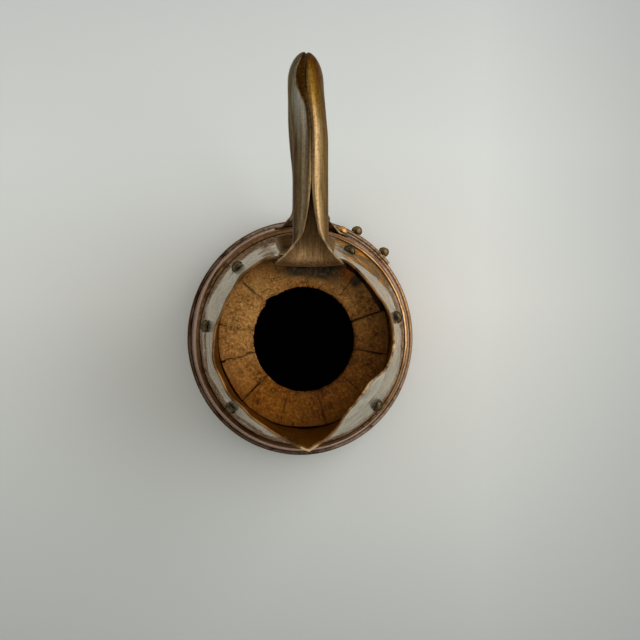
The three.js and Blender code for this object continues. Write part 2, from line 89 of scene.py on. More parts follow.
def node(tree, kind, sockets, out=0, **settings):
    """Adds a node and returns one output. sockets maps an input to its value or the output that feeds it."""
    made = tree.nodes.new("ShaderNode" + kind)
    for name, value in settings.items():
        setattr(made, name, value)
    for socket, value in sockets.items():
        if isinstance(value, bpy.types.NodeSocket):
            tree.links.new(value, made.inputs[socket])
        else:
            made.inputs[socket].default_value = linear(value) if isinstance(value, str) else value
    return made.outputs[out]


def noise(tree, place, size, detail, roughness=0.5, distortion=0.0):
    """Noise whose coarsest blotches are about a size in millimetres."""
    sockets = {"Vector": place, "Scale": 1000 / size, "Detail": detail}
    return node(tree, "TexNoise", {**sockets, "Roughness": roughness, "Distortion": distortion})


def painted(tree, name):
    """The value that the piece's mesh carries at each point under a name, or 0 where it has none."""
    return node(tree, "Attribute", {}, out="Fac", attribute_name=name)


def maths(tree, operation, *inputs, clamp=False):
    return node(tree, "Math", dict(enumerate(inputs)), operation=operation, use_clamp=clamp)


def blend(tree, share, under, over, blend_type="MIX"):
    sockets = {0: share, 6: under, 7: over}
    return node(tree, "Mix", sockets, out=2, data_type="RGBA", blend_type=blend_type)


def bump(tree, height, strength, distance, **under):
    return node(tree, "Bump", {"Height": height, "Strength": strength, "Distance": distance, **under})


def tones(tree, share, stops):
    """Colour ramp through stops of a place and an sRGB hex colour."""
    toned = node(tree, "ValToRGB", {"Fac": share})
    elements = toned.node.color_ramp.elements
    while len(elements) < len(stops):
        elements.new(1)
    for element, (place, colour) in zip(elements, stops):
        element.position = place
        element.color = linear(colour)
    return toned


def material(name):
    """A material with its node tree, empty but for the output node, and its place on the piece."""
    made = bpy.data.materials.new(name)
    made.use_nodes = True
    tree = made.node_tree
    tree.nodes.clear()
    tree.nodes.new("ShaderNodeOutputMaterial")
    return made, tree, node(tree, "TexCoord", {}, out="Object")


def finish_material(tree, **sockets):
    """Feeds the material's surface from one Principled shader with these inputs."""
    inputs = {name.replace("_", " "): value for name, value in sockets.items()}
    shader = node(tree, "BsdfPrincipled", inputs)
    tree.links.new(shader, tree.nodes["Material Output"].inputs["Surface"])


def solid(name, loops, closed, **attributes):
    """Closed mesh through a stack of loops, an array of loops x points x 3 in millimetres. Each face joins
    two neighbouring points of a loop to the same two of the next. A closed stack runs on from its last loop
    to its first. An open one is filled at both ends by strips between points j and count - 1 - j. All faces
    are reversed if the sum of their signed tetrahedra is negative. Attributes hold a value for each point."""
    rows, count = loops.shape[:2]
    points = loops.reshape(-1, 3) * 0.001
    i, j = np.meshgrid(np.arange(rows if closed else rows - 1), np.arange(count), indexing="ij")
    here, there = i * count, (i + 1) % rows * count
    nearest = (j + 1) % count
    faces = np.stack([here + j, here + nearest, there + nearest, there + j], axis=-1).reshape(-1, 4)
    if not closed:
        j = np.arange(count // 2 - 1)
        strip = np.stack([j, count - 1 - j, count - 2 - j, j + 1], axis=-1)
        faces = np.concatenate([faces, strip, (rows - 1) * count + strip[:, ::-1]])
    a, b, c, d = (points[faces[:, k]] for k in range(4))
    volume = np.einsum("ij,ij->", a, np.cross(b, c)) + np.einsum("ij,ij->", a, np.cross(c, d))
    if volume < 0:
        faces = faces[:, ::-1]
    mesh = bpy.data.meshes.new(name)
    mesh.vertices.add(len(points))
    mesh.vertices.foreach_set("co", points.ravel())
    mesh.loops.add(faces.size)
    mesh.loops.foreach_set("vertex_index", faces.ravel().astype(np.int32))
    mesh.polygons.add(len(faces))
    mesh.polygons.foreach_set("loop_start", np.arange(0, faces.size, 4, dtype=np.int32))
    mesh.update(calc_edges=True)
    mesh.polygons.foreach_set("use_smooth", np.ones(len(faces), bool))
    for attribute, values in attributes.items():
        layer = mesh.attributes.new(attribute, "FLOAT", "POINT")
        layer.data.foreach_set("value", np.broadcast_to(values, (rows, count)).astype(np.float32).ravel())
    piece = bpy.data.objects.new(name, mesh)
    bpy.context.collection.objects.link(piece)
    return piece


def fit(piece, cad_node, finish):
    """Puts the piece on the vessel in place of a CAD node and its material."""
    piece.data.materials.append(finish)
    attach(piece, "root")
    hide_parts(cad_node)


def ramp(values, low, high):
    """Goes from 0 at low to 1 at high along a cubic S curve."""
    share = np.clip((values - low) / (high - low), 0, 1)
    return share * share * (3 - 2 * share)


def waves(seed, *scaled):
    """Sum of sixteen sine waves of random direction and phase over the given coordinates, each already
    divided by its wavelength, so that it swings about 1 either way."""
    chance = np.random.default_rng(seed)
    total = 0
    for _ in range(16):
        phase = chance.uniform(0, 2 * np.pi)
        for coordinate in scaled:
            phase = phase + 2 * np.pi * chance.uniform(-1, 1) * coordinate
        total = total + np.sin(phase)
    return total / 4


def ring_waves(seed, most_periods, angle, height, wavelength):
    """Sum of twelve sine waves that close on themselves round the vessel: each has a whole number of
    periods up to a limit, and runs up the height at its own slant."""
    chance = np.random.default_rng(seed)
    total = 0
    for _ in range(12):
        periods = chance.integers(1, most_periods + 1)
        slant = chance.uniform(-1, 1) * 2 * np.pi / wavelength
        total = total + np.sin(np.radians(periods * angle) + slant * height + chance.uniform(0, 2 * np.pi))
    return total / 3.5


def polar(radius, angle, height):
    """Points at a distance from the vessel's axis, an angle and a height."""
    turn = np.radians(angle)
    return np.stack(np.broadcast_arrays(radius * np.cos(turn), radius * np.sin(turn), height), axis=-1)


def oval(angle):
    """Distance from the centre of an ellipse that is 1 + OVALITY long and 1 - OVALITY wide."""
    turn = np.radians(angle)
    return 1 / np.hypot(np.cos(turn) / (1 - OVALITY), np.sin(turn) / (1 + OVALITY))


def outline(height):
    """Mean radius outside the sheet: a straight cone up to the waist, and a quadratic Bezier curve from
    there to the rim, whose parameter is solved from the height."""
    cone = BASE_RADIUS + (WAIST_RADIUS - BASE_RADIUS) * height / WAIST_HEIGHT
    first = 2 * NECK_BEND_RISE
    second = RIM_HEIGHT - WAIST_HEIGHT - first
    above = np.maximum(height - WAIST_HEIGHT, 0)
    t = 2 * above / (first + np.sqrt(first * first + 4 * second * above))
    neck = (1 - t) ** 2 * WAIST_RADIUS + 2 * t * (1 - t) * NECK_BEND_RADIUS + t * t * RIM_RADIUS
    return np.where(height > WAIST_HEIGHT, neck, cone)


def body_radius(angle, height):
    return outline(height) * oval(angle)


def around(angle, middle, half_width):
    """1 at an angle and falling off to both sides of it as a bell curve."""
    away = (angle - middle + 180) % 360 - 180
    return np.exp(-((away / half_width) ** 2))


WORN_EDGE_FROM, WORN_EDGE_TO = 14, 64
WORN_EDGE_DEPTH = 3
SHRUNK_EDGE = 0.9
CHIP_STAVE = 3
CHIP_DEPTH = 1.3
CHIP_HEIGHT = 14
EDGE_ROUND = 0.7
TORN_REACH = 2.2
GRIME_REACH = 0.4
STAVE_COLUMNS = 110

wood_wall = SHEET + GAP
croze_low, croze_high = BOARD_HEIGHT - GAP, BOARD_HEIGHT + BOARD_THICKNESS + GAP
side_heights = np.concatenate([
    [wood_wall, croze_low, croze_low + 0.01, croze_high - 0.01, croze_high],
    np.linspace(croze_high + 5, WOOD_TOP - 12, 20),
    np.linspace(WOOD_TOP - 11, WOOD_TOP - EDGE_ROUND, 14),
])
in_croze = (side_heights > croze_low) & (side_heights < croze_high)
outer_side = outline(side_heights) - wood_wall
inner_side = outer_side - STAVE_THICKNESS + CROZE_DEPTH * in_croze
across_top = (1 - np.cos(np.linspace(0, np.pi, 34))) / 2
top_radius = outer_side[-1] + (inner_side[-1] - outer_side[-1]) * across_top
from_edge = np.minimum(top_radius - inner_side[-1], outer_side[-1] - top_radius)
into_round = np.maximum(EDGE_ROUND - from_edge, 0)
top_height = WOOD_TOP - EDGE_ROUND + np.sqrt(np.clip(EDGE_ROUND**2 - into_round**2, 0, None))
loop_radius = np.concatenate([outer_side, top_radius[1:-1], inner_side[::-1]])
loop_height = np.concatenate([side_heights, top_height[1:-1], side_heights[::-1]])
on_top = ramp(loop_height, WOOD_TOP - 3, WOOD_TOP - EDGE_ROUND)
in_bore = loop_radius < (outer_side[-1] + inner_side[-1]) / 2


def joint_line(k, radius, height):
    """How far, in millimetres, the crack between two staves wanders, and its half width."""
    wander = 0.42 * waves(40 + k, radius / 5, height / 30) + 0.2 * waves(60 + k, radius / 1.3, height / 9)
    gaping = np.clip(waves(80 + k, radius / 3, height / 12), 0, 1)
    return wander, 0.02 + JOINT_OPENNESS[k] * (0.07 + 0.24 * gaping)


def stave(k):
    """Stave k: its outline in radius and height, swept from one crack to the next in steps of angle that
    are shortest beside the cracks, which keeps their edges crisp."""
    following = (k + 1) % STAVES
    start = STAVE_JOINTS[k]
    end = STAVE_JOINTS[following] + (360 if following == 0 else 0)
    start_wander, start_half = joint_line(k, loop_radius, loop_height)
    end_wander, end_half = joint_line(following, loop_radius, loop_height)
    first = start + np.degrees((start_wander + start_half) / loop_radius)
    last = end + np.degrees((end_wander - end_half) / loop_radius)
    share = 0.5 - 0.5 * np.cos(np.pi * np.linspace(0, 1, STAVE_COLUMNS))[:, None]
    angle = first + (last - first) * share
    radius = loop_radius + np.zeros_like(angle)
    worn = on_top * ramp(angle, WORN_EDGE_FROM, WORN_EDGE_FROM + 8)
    worn = worn * (1 - ramp(angle, WORN_EDGE_TO - 8, WORN_EDGE_TO))
    shrunk = on_top * SHRUNK_EDGE * (around(angle, 271, 13) + 0.8 * around(angle, 210, 14))
    edge_radius = outer_side[-1] - WORN_EDGE_DEPTH * (0.85 + 0.15 * waves(5, angle / 12)) * worn - shrunk
    radius = np.where(in_bore, radius, np.minimum(radius, edge_radius))
    ragged = 0.35 + 0.3 * waves(7 + k, angle / 9) + 0.5 * waves(20 + k, angle / 1.8, loop_height / 3)
    near_bore = on_top * np.exp(-((loop_radius - inner_side[-1]) / TORN_REACH) ** 2) * np.clip(ragged, 0, 2)
    if k == CHIP_STAVE:
        chip = ramp(loop_height, WOOD_TOP - CHIP_HEIGHT, WOOD_TOP - CHIP_HEIGHT + 2) * ramp(share, 0.3, 0.9)
        near_bore = near_bore + chip * CHIP_DEPTH * np.clip(1 - (loop_radius - inner_side[-1]) / 4, 0, 1)
    radius = radius + near_bore
    x, y = radius * np.cos(np.radians(angle)), radius * np.sin(np.radians(angle))
    relief = 0.1 * waves(1, x / 9, y / 9) + 0.05 * waves(2, x / 2.2, y / 2.2) - 0.13
    relief = relief - 0.05 * np.sin(2.1 * k + 1)
    height = loop_height + on_top * np.minimum(relief, 0)
    return angle, radius, height


# Oak end grain: dry and open-pored, so it is matt, with dark pores, pale torn fibres, and parts that drink
# has soaked brown. Its last, near-black layer is painted shade, with grime only at the cracks
oak, oak_tree, place = material("stained_oak_end_grain")
pores = noise(oak_tree, place, 1.3, 3, 0.6)
patches = noise(oak_tree, place, 6, 5, 0.65)
fibres = noise(oak_tree, place, 2.1, 4, distortion=1.6)
grain = tones(oak_tree, pores, [
    (0.34, "#543410"), (0.45, "#87561f"), (0.54, "#a87738"), (0.66, "#d8ac68"),
])
mottled = tones(oak_tree, patches, [(0.36, "#4f3110"), (0.5, "#a8733a"), (0.62, "#d09a56")])
wood_colour = blend(oak_tree, 0.45, grain, mottled)
hairs = tones(oak_tree, fibres, [(0.48, "#000000"), (0.5, "#ffffff"), (0.52, "#000000")])
hair_share = maths(oak_tree, "MULTIPLY", hairs, 0.7)
wood_colour = blend(oak_tree, hair_share, wood_colour, "#f0bd74")
for soak, colour in (("warm", "#c4a75a"), ("dim", "#98896c")):
    amount = painted(oak_tree, soak)
    wood_colour = blend(oak_tree, amount, wood_colour, colour, "MULTIPLY")
uneven = maths(oak_tree, "ADD", pores, patches)
broken = maths(oak_tree, "MULTIPLY_ADD", uneven, 3.0, -3.0)
# The near-black last layer is mostly painted shade; only at the cracks is it grime.
for stain, colour in (("rust", "#a8550a"), ("residue", "#332d20"), ("dark", "#060301")):
    amount = painted(oak_tree, stain)
    spread = maths(oak_tree, "ADD", amount, broken, clamp=True)
    held = maths(oak_tree, "MULTIPLY", spread, amount, clamp=True)
    share = maths(oak_tree, "POWER", held, 0.6, clamp=True)
    wood_colour = blend(oak_tree, share, wood_colour, colour)
wood_bump = bump(oak_tree, pores, 0.6, 0.0008)
finish_material(oak_tree, Base_Color=wood_colour, Roughness=0.8, Normal=wood_bump, Specular_IOR_Level=0.12)


for k in range(STAVES):
    angle, radius, height = stave(k)
    near_bore = np.exp(-((radius - 24) / 2.5) ** 2)
    outer_rim = ramp(radius, 37, 41)
    depth = ramp(height, WOOD_TOP - 1.2, WOOD_TOP - 7)
    start_grime = JOINT_OPENNESS[k] * np.exp(-np.radians(angle - angle[:1]) * radius / GRIME_REACH)
    end_grime = np.exp(-np.radians(angle[-1:] - angle) * radius / GRIME_REACH)
    end_grime = JOINT_OPENNESS[(k + 1) % STAVES] * end_grime
    under_handle = around(angle, 86, 24) * ramp(radius, 27.5, 31)
    under_handle = under_handle + around(angle, 48, 4) * ramp(radius, 33, 36)
    # The dark layer is mostly painted shade: darker down the bore, along the collar wall, in the shadow gap
    # at the back right and under the handle's tongue. Only its part at the cracks is grime.
    stains_and_shade = {
        "warm": 0.9 * around(angle, 238, 42) + 0.9 * around(angle, 310, 55) + 0.3 * around(angle, 20, 40),
        "dim": 0.45 * around(angle, 275, 30) + 0.5 * around(angle, 325, 40) + 0.2 * around(angle, 208, 16)
        + 0.5 * around(angle, 10, 35) + 0.5 * around(angle, 80, 24) + 0.25 * near_bore,
        "rust": around(angle, 56, 5) * ramp(radius, 32, 37) + 0.5 * around(angle, 95, 22) * near_bore,
        "residue": 1.5 * under_handle * (0.8 + 0.3 * around(angle, 70, 25)),
        "dark": depth + 0.45 * around(angle, 39, 24) * outer_rim + 0.2 * outer_rim
        + 0.55 * (start_grime + end_grime) + 0.8 * around(angle, 88, 26) * ramp(radius, 31.5, 34),
    }
    stains_and_shade = {name: np.clip(amount, 0, 1) for name, amount in stains_and_shade.items()}
    piece = solid(f"oak_stave_{k + 1:02d}", polar(radius * oval(angle), angle, height), False, **stains_and_shade)
    fit(piece, f"stave_{k + 1:02d}", oak)


# Bottom board and base plate
# The board sits in a groove of the staves and is coloured near black, painted shade at the bottom of the
# bore.
# The plate that closes the foot is plain sheet copper, scuffed by every shelf that it has stood on. Both keep
# their CAD solids.
board, board_tree, place = material("oak_board_painted_shade")
board_grain = noise(board_tree, place, 4, 5)
# Near black: painted shade at the bottom of the bore.
board_colour = tones(board_tree, board_grain, [(0.35, "#0a0502"), (0.65, "#1c1008")])
finish_material(board_tree, Base_Color=board_colour, Roughness=0.8)


def remap(tree, value, low, high, to_low, to_high):
    return node(tree, "MapRange", {"Value": value, 1: low, 2: high, 3: to_low, 4: to_high})


def sheet_copper(name, clean, dull, stain, roughness, glancing):
    """Material of rubbed sheet copper: clouds of two tones with a darker stain, fine scratches in the
    roughness, and shallow dents. Where the piece carries the scuff attribute it is pale and matt, partly
    scuffed and partly a painted reflection. Where it carries tarnish it has a brown patina, which on the body
    shell is partly painted shade, and whose border creeps over the metal in blotches."""
    made, tree, place = material(name)
    clouds = noise(tree, place, 22, 5, 0.62)
    specks = noise(tree, place, 2.4, 6, 0.7)
    tone = tones(tree, clouds, [(0.36, dull), (0.6, clean)])
    spots = maths(tree, "MULTIPLY", clouds, specks)
    spotted = remap(tree, spots, 0.27, 0.4, 0.0, 0.6)
    colour = blend(tree, spotted, tone, stain)
    scuffed = painted(tree, "scuffed")
    colour = blend(tree, scuffed, colour, "#d6ccbc")
    tarnish = painted(tree, "tarnish")
    patchy = remap(tree, clouds, 0.3, 0.7, 0.75, 1.15)
    squared = maths(tree, "MULTIPLY", tarnish, tarnish)
    halfway = maths(tree, "SUBTRACT", tarnish, squared)
    blotches = maths(tree, "ADD", clouds, specks)
    swing = remap(tree, blotches, 0.75, 1.25, -2.2, 2.2)
    crept = maths(tree, "MULTIPLY_ADD", halfway, swing, tarnish, clamp=True)
    tarnished = maths(tree, "MULTIPLY", crept, patchy, clamp=True)
    colour = blend(tree, tarnished, colour, "#35200f")
    unpolished = maths(tree, "MULTIPLY_ADD", scuffed, 0.7, tarnished, clamp=True)
    metal = maths(tree, "SUBTRACT", 1.0, unpolished)
    flat = node(tree, "Mapping", {"Vector": place, "Scale": (1, 1, 0.06)})
    scratches = noise(tree, flat, 0.9, 3)
    rough = remap(tree, scratches, 0.3, 0.7, roughness * 0.75, roughness * 1.3)
    rough = maths(tree, "MULTIPLY_ADD", unpolished, 0.35, rough)
    dents = noise(tree, place, 11, 1)
    uneven = bump(tree, dents, 0.35, 0.0012)
    grooves = bump(tree, scratches, 0.25, 0.00008, Normal=uneven)
    finish_material(tree, Base_Color=colour, Metallic=metal, Roughness=rough, Normal=grooves,
                    Specular_Tint=glancing, Specular_IOR_Level=0.0)
    return made


base_copper = sheet_copper("scuffed_base_copper", "#b07a58", "#8a5b40", "#4d3524", 0.42, "#ffffff")
for cad_node, finish in (("bottom_board", board), ("base_plate", base_copper)):
    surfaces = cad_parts[cad_node].data.materials
    surfaces.clear()
    surfaces.append(finish)


# Body shell
# One sheet of copper bent round the staves from the foot to the waist, its ends lapped and soldered at the
# back left. It is rubbed pinkish, dark brown under the waist hoop, where painted shade lies with some patina,
# and pale over the foot hoop, partly wear and partly a painted reflection.
SEAM_ANGLE = 136.5
SHELL_SHADE_FROM, SHELL_SHADE_HIGH = 56, 72
SHELL_SHADE_FADES = 14
SHELL_SCUFF_SHEEN_RISE = 9
FOOT_HOOP_FROM = 3
FOOT_HOOP_WIDTH = 21
FOOT_HOOP_TOP = FOOT_HOOP_FROM + FOOT_HOOP_WIDTH
RING_COLUMNS = 600


def seam_step(angle, width, rise):
    """Lap of the sheet's two ends: the surface comes up slowly and drops back within a millimetre."""
    away = (angle - SEAM_ANGLE + 180) % 360 - 180
    return rise * ramp(away, -width, 0) * (1 - ramp(away, 0, 0.8))


def sheet_loop(angle, heights, radius, sheet):
    """Loop of a sheet ring at each angle: up the outside, over a round edge, down the inside."""
    half = sheet / 2
    bend = np.linspace(0, np.pi, 7)[1:-1]
    outside = polar(radius, angle, heights)
    inside = polar(radius - sheet, angle, heights)[:, ::-1]
    top_radius = radius[:, -1:] - half + half * np.cos(bend)
    top = polar(top_radius, angle, heights[:, -1:] + half * np.sin(bend))
    low_radius = radius[:, :1] - half - half * np.cos(bend)
    low = polar(low_radius, angle, heights[:, :1] - half * np.sin(bend))
    return np.concatenate([outside, top, inside, low], axis=1)


def round_edge(away, half, rounding, least=0.04):
    """Half thickness of a sheet whose edge is round over a distance, and never thinner there than a share."""
    return half * np.sqrt(np.clip(1 - np.maximum(1 - away / rounding, 0) ** 2, least, 1))


ring = np.linspace(0, 360, RING_COLUMNS, endpoint=False)[:, None]
shell_heights = np.linspace(wood_wall + SHEET / 2, WAIST_HEIGHT - GAP / 2 - SHEET / 2, 70) + 0 * ring
dent = 0.1 * ring_waves(3, 9, ring, shell_heights, 90)
shell_radius = body_radius(ring, shell_heights) + dent - 0.1 + seam_step(ring, 5, 0.2)
pink_copper = sheet_copper("rubbed_body_copper", "#cf9873", "#a0694a", "#4f3422", 0.2, "#fdf0e6")
shell_loops = sheet_loop(ring, shell_heights, shell_radius, SHEET)
# Painted shade with some patina: dark brown from a height up to the waist hoop, starting higher at the left
# and highest at the right.
shaded_from = SHELL_SHADE_FROM + (SHELL_SHADE_HIGH - SHELL_SHADE_FROM) * around(ring, 183, 22)
shaded_from = shaded_from + 45 * around(ring, 5, 60) + 5 * ring_waves(4, 9, ring, 0, 1)
shell_z = shell_loops[:, :, 2]
shell_tarnish_and_shade = 0.95 * ramp(shell_z, shaded_from - SHELL_SHADE_FADES, shaded_from + SHELL_SHADE_FADES)
# Pale just above the foot hoop: partly wear, partly a painted reflection.
shell_scuffed = 0.5 * (1 - ramp(shell_z, FOOT_HOOP_TOP, FOOT_HOOP_TOP + SHELL_SCUFF_SHEEN_RISE))
shell = solid("copper_body_shell", shell_loops, True, tarnish=shell_tarnish_and_shade, scuffed=shell_scuffed)
fit(shell, "body_shell", pink_copper)


# Collar
# A sheet of tinned copper nailed over the upper staves. Its free edge was bent by hand: out to a pointed
# spout, in at the right, down to a saddle at the back. The tin is streaky white, with a painted reflection of
# each nail as a dark smear beside it, worn to brown copper below and to golden copper at the back right.
# Inside it is golden brown, with painted shade at the back right and the right, below the rim.
SPOUT_ANGLE = -87.4
SPOUT_REACH = 10.9
RIM_BENDS = [
    (-80, 7.4), (-70, 2.3), (-60, -1.6), (-48, -3.6), (-35, -4.2), (-27, -2.4), (-19, 0.3), (-8, 1.6),
    (20, 1.1), (32, -0.7), (60, -0.3), (76, -3.4), (90, -4.6), (103, -3.5), (112, -0.8), (131, 0.6),
    (150, -0.2), (180, 2.1), (199, 3.1), (230, 2.4), (250, 3.9), (261, 6.7),
]
RIM_BEND_SHARPNESS = 1.35
SADDLE_DEPTH = 8
SADDLE_FROM, SADDLE_TO = 50, 122
SADDLE_SLOPE = 17
COLLAR_COLUMNS = 600
COLLAR_NAILS = [(12.8, 135), (62, 133), (132.5, 139), (172.6, 131), (224, 130), (270, 132), (318, 127)]


def rim_bend(angle):
    """How far the rim leaves its round outline: cubic Hermite pieces through the listed bends, whose slope
    at a bend is the mean of the slopes on its two sides. The spout's tip is a crease at both ends."""
    ends = [(SPOUT_ANGLE, SPOUT_REACH), *RIM_BENDS, (SPOUT_ANGLE + 360, SPOUT_REACH)]
    places, bends = np.array(ends, float).T
    slopes = np.diff(bends) / np.diff(places)
    tangents = np.concatenate([slopes[:1], (slopes[1:] + slopes[:-1]) / 2, slopes[-1:]])
    turned = (angle - SPOUT_ANGLE) % 360 + SPOUT_ANGLE
    k = np.clip(np.searchsorted(places, turned, side="right") - 1, 0, len(places) - 2)
    span = places[k + 1] - places[k]
    t = (turned - places[k]) / span
    value = (1 + 2 * t) * (1 - t) ** 2 * bends[k] + t * t * (3 - 2 * t) * bends[k + 1]
    return value + span * t * (1 - t) * ((1 - t) * tangents[k] - t * tangents[k + 1])


def rim_height(angle):
    """Height of the rim, which comes down to the saddle between two S curves."""
    turned = angle % 360
    right_side = ramp(turned, SADDLE_FROM, SADDLE_FROM + SADDLE_SLOPE)
    left_side = 1 - ramp(turned, SADDLE_TO - SADDLE_SLOPE, SADDLE_TO)
    return RIM_HEIGHT - SADDLE_DEPTH * np.minimum(right_side, left_side)


def collar_radius(angle, height):
    """The vessel's outline, with the free edge above the wood bent by a power of its share of the rise."""
    free = np.clip((height - WOOD_TOP) / (rim_height(angle) - WOOD_TOP), 0, 1)
    return body_radius(angle, height) + free**RIM_BEND_SHARPNESS * rim_bend(angle)


ring = SPOUT_ANGLE + np.linspace(0, 360, COLLAR_COLUMNS, endpoint=False)[:, None]
lower = np.linspace(WAIST_HEIGHT + GAP / 2 + SHEET / 2, WOOD_TOP, 34) + 0 * ring
wave = 0.2 * ring_waves(11, 14, ring, 0, 1)
upper_share = np.linspace(0, 1, 24)[1:]
upper = WOOD_TOP + (rim_height(ring) - SHEET / 2 + wave - 0.2 - WOOD_TOP) * upper_share
collar_heights = np.concatenate([lower, upper], axis=1)
freedom = ramp(collar_heights, WOOD_TOP - 8, RIM_HEIGHT)
ripple = (0.06 + 0.22 * freedom) * ring_waves(12, 22, ring, collar_heights, 45)
collar_surface = collar_radius(ring, collar_heights) + ripple - 0.06 + seam_step(ring, 4, 0.12)
collar_loops = sheet_loop(ring, collar_heights, collar_surface, SHEET)
rows = collar_heights.shape[1]
loop_place = np.arange(collar_loops.shape[1])
outside_face = np.broadcast_to(loop_place < rows, collar_loops.shape[:2])
edge_face = np.exp(-(((loop_place - rows - 2) / 4.2) ** 2))
collar_z = collar_loops[:, :, 2]
worn_to = WAIST_HEIGHT + 13 + 4 * around(ring, 195, 25) + 10 * around(ring, 40, 30)
worn_to = worn_to - 6 * around(ring, -45, 35) + 5 * around(ring, 240, 20)
worn_to = worn_to + 2.5 * ring_waves(21, 16, ring, 0, 1)
worn = (1 - ramp(collar_z, worn_to - 6, worn_to + 7)) * outside_face
golden_to = WAIST_HEIGHT + 15 + 33 * around(ring, 60, 24)
golden = 1.3 * outside_face * around(ring, 50, 30) * (1 - ramp(collar_z, golden_to - 8, golden_to + 8))
worn = worn + 0.8 * outside_face * around(ring, 113, 9)
# Painted reflection of each nail: a dark smear on the tin just beside it.
smudge = 0
for nail_angle, nail_height in COLLAR_NAILS:
    smudge = smudge + around(ring, nail_angle + 3, 5) * np.exp(-(((collar_z - nail_height + 1) / 5) ** 2))
inside = 1 - outside_face
# Painted shade inside the collar, at the back right and the right, fading toward the rim.
sooty = around(ring, 39, 24) + 0.5 * around(ring, 0, 22)
soot = 1.2 * inside * sooty * (1 - ramp(collar_z, RIM_HEIGHT - 10, RIM_HEIGHT))

tin, tin_tree, place = material("worn_tinned_copper")
fine = noise(tin_tree, place, 1.6, 3, 0.6)
broad = noise(tin_tree, place, 9, 4, 0.6)
streaks = noise(tin_tree, place, 7, 6, 0.7)
white = tones(tin_tree, streaks, [(0.36, "#b2a99b"), (0.47, "#cdc6b9"), (0.6, "#e8e3da")])
brown = tones(tin_tree, fine, [(0.38, "#34231a"), (0.52, "#70563e"), (0.66, "#a4866a")])
gold = tones(tin_tree, broad, [(0.4, "#564226"), (0.5, "#6e4e26"), (0.57, "#8e5c1c"), (0.66, "#c67c1a")])
lining = tones(tin_tree, broad, [(0.35, "#5e3a0a"), (0.65, "#855314")])
rubbed = tones(tin_tree, broad, [(0.35, "#54381c"), (0.6, "#926c42")])
tan = tones(tin_tree, broad, [(0.35, "#a08058"), (0.6, "#d0b088")])
roughen = maths(tin_tree, "ADD", fine, broad)
tin_colour = white
tin_metal = 1.0
tin_rough = 0.21
# Among the layers, the dark smears beside the nails are painted reflections and the near-black inside layer
# is painted shade.
layers = [
    ("worn", brown, 2.5, 0.3, 0.5), ("smudge", "#4c4338", 1.6, 0.4, 0.4), ("golden", gold, 2.2, 0.5, 0.4),
    ("inside", lining, 8.0, 0.9, 0.42), ("soot", "#120a04", 3.0, 0.2, 0.6),
    ("edge", rubbed, 3.0, 0.7, 0.55), ("tan", tan, 3.0, 0.7, 0.5),
]
centred = maths(tin_tree, "MULTIPLY_ADD", roughen, 1.8, -2.3)
for layer, colour, hardness, metal, roughness in layers:
    amount = painted(tin_tree, layer)
    ragged = maths(tin_tree, "ADD", amount, centred)
    share = maths(tin_tree, "MULTIPLY", ragged, hardness, clamp=True)
    tin_colour = blend(tin_tree, share, tin_colour, colour)
    tin_metal = node(tin_tree, "Mix", {0: share, 2: tin_metal, 3: metal})
    tin_rough = node(tin_tree, "Mix", {0: share, 2: tin_rough, 3: roughness})
tin_dents = bump(tin_tree, broad, 0.25, 0.001)
tin_streaks = bump(tin_tree, streaks, 0.3, 0.0003, Normal=tin_dents)
finish_material(tin_tree, Base_Color=tin_colour, Metallic=tin_metal, Roughness=tin_rough, Normal=tin_streaks,
                Specular_Tint="#e6e0d4", Specular_IOR_Level=0.0)
tanned = edge_face * (around(ring, -25, 35) + around(ring, SPOUT_ANGLE, 7))
collar = solid("tinned_collar", collar_loops, True, worn=worn, smudge=smudge * outside_face, golden=golden,
               inside=inside, soot=soot, edge=1.5 * edge_face, tan=tanned)
fit(collar, "collar", tin)


# Waist hoop
# A half-round copper wire driven down over the joint of the two sheets. It is brown, and rubbed golden at the
# right and a little at the back left.
HOOP_WIDTH = 3.4
HOOP_RISE = 1.3

ring = np.linspace(0, 360, RING_COLUMNS, endpoint=False)[:, None]
crown = np.linspace(0, np.pi, 22)
back_share = np.linspace(0, 1, 10)[1:-1]
rise = np.concatenate([HOOP_RISE * np.sin(crown) ** 0.8, 0 * back_share])
offset = np.concatenate([HOOP_WIDTH / 2 * np.cos(crown), HOOP_WIDTH * (back_share - 0.5)])
knocks = 0.07 * ring_waves(31, 40, ring, 0, 1)
hoop_heights = WAIST_HEIGHT + offset + 0.08 * ring_waves(32, 9, ring, 0, 1)
hoop_radius = body_radius(ring, hoop_heights) + GAP + rise * (0.95 + knocks)
hoop_copper = sheet_copper("brown_hoop_copper", "#b98e60", "#7c5a3a", "#2c1a10", 0.2, "#d0b492")
hoop_tarnish = np.clip(1.1 - 1.4 * around(ring, 22, 60) - 0.4 * around(ring, 150, 48), 0, 1)
hoop = solid("half_round_waist_hoop", polar(hoop_radius, ring, hoop_heights), True, tarnish=hoop_tarnish)
fit(hoop, "waist_hoop", hoop_copper)


# Foot hoop and its rivets
# A flat copper strip round the foot. Its free end is lapped over right of the handle and held by three iron
# rivets with round heads. It is the darkest sheet, polished golden at the right, with a pale top edge that is
# partly rubbed and partly a painted reflection.
FOOT_HOOP_SHEET = 1.4
FOOT_HOOP_DULL_TO = 21
LAP_FROM, LAP_TO, LAP_RAMP, LAP_HIDDEN = 40, 86, 8, 2
HOOP_RIVET_ANGLES = [46, 62.3, 78.6]
RIVET_RADIUS = 3.3
RIVET_RISE = 4.6
SHANK_RADIUS = 1.1
RIVET_RUB = 0.12
STRIP_COLUMNS = 700

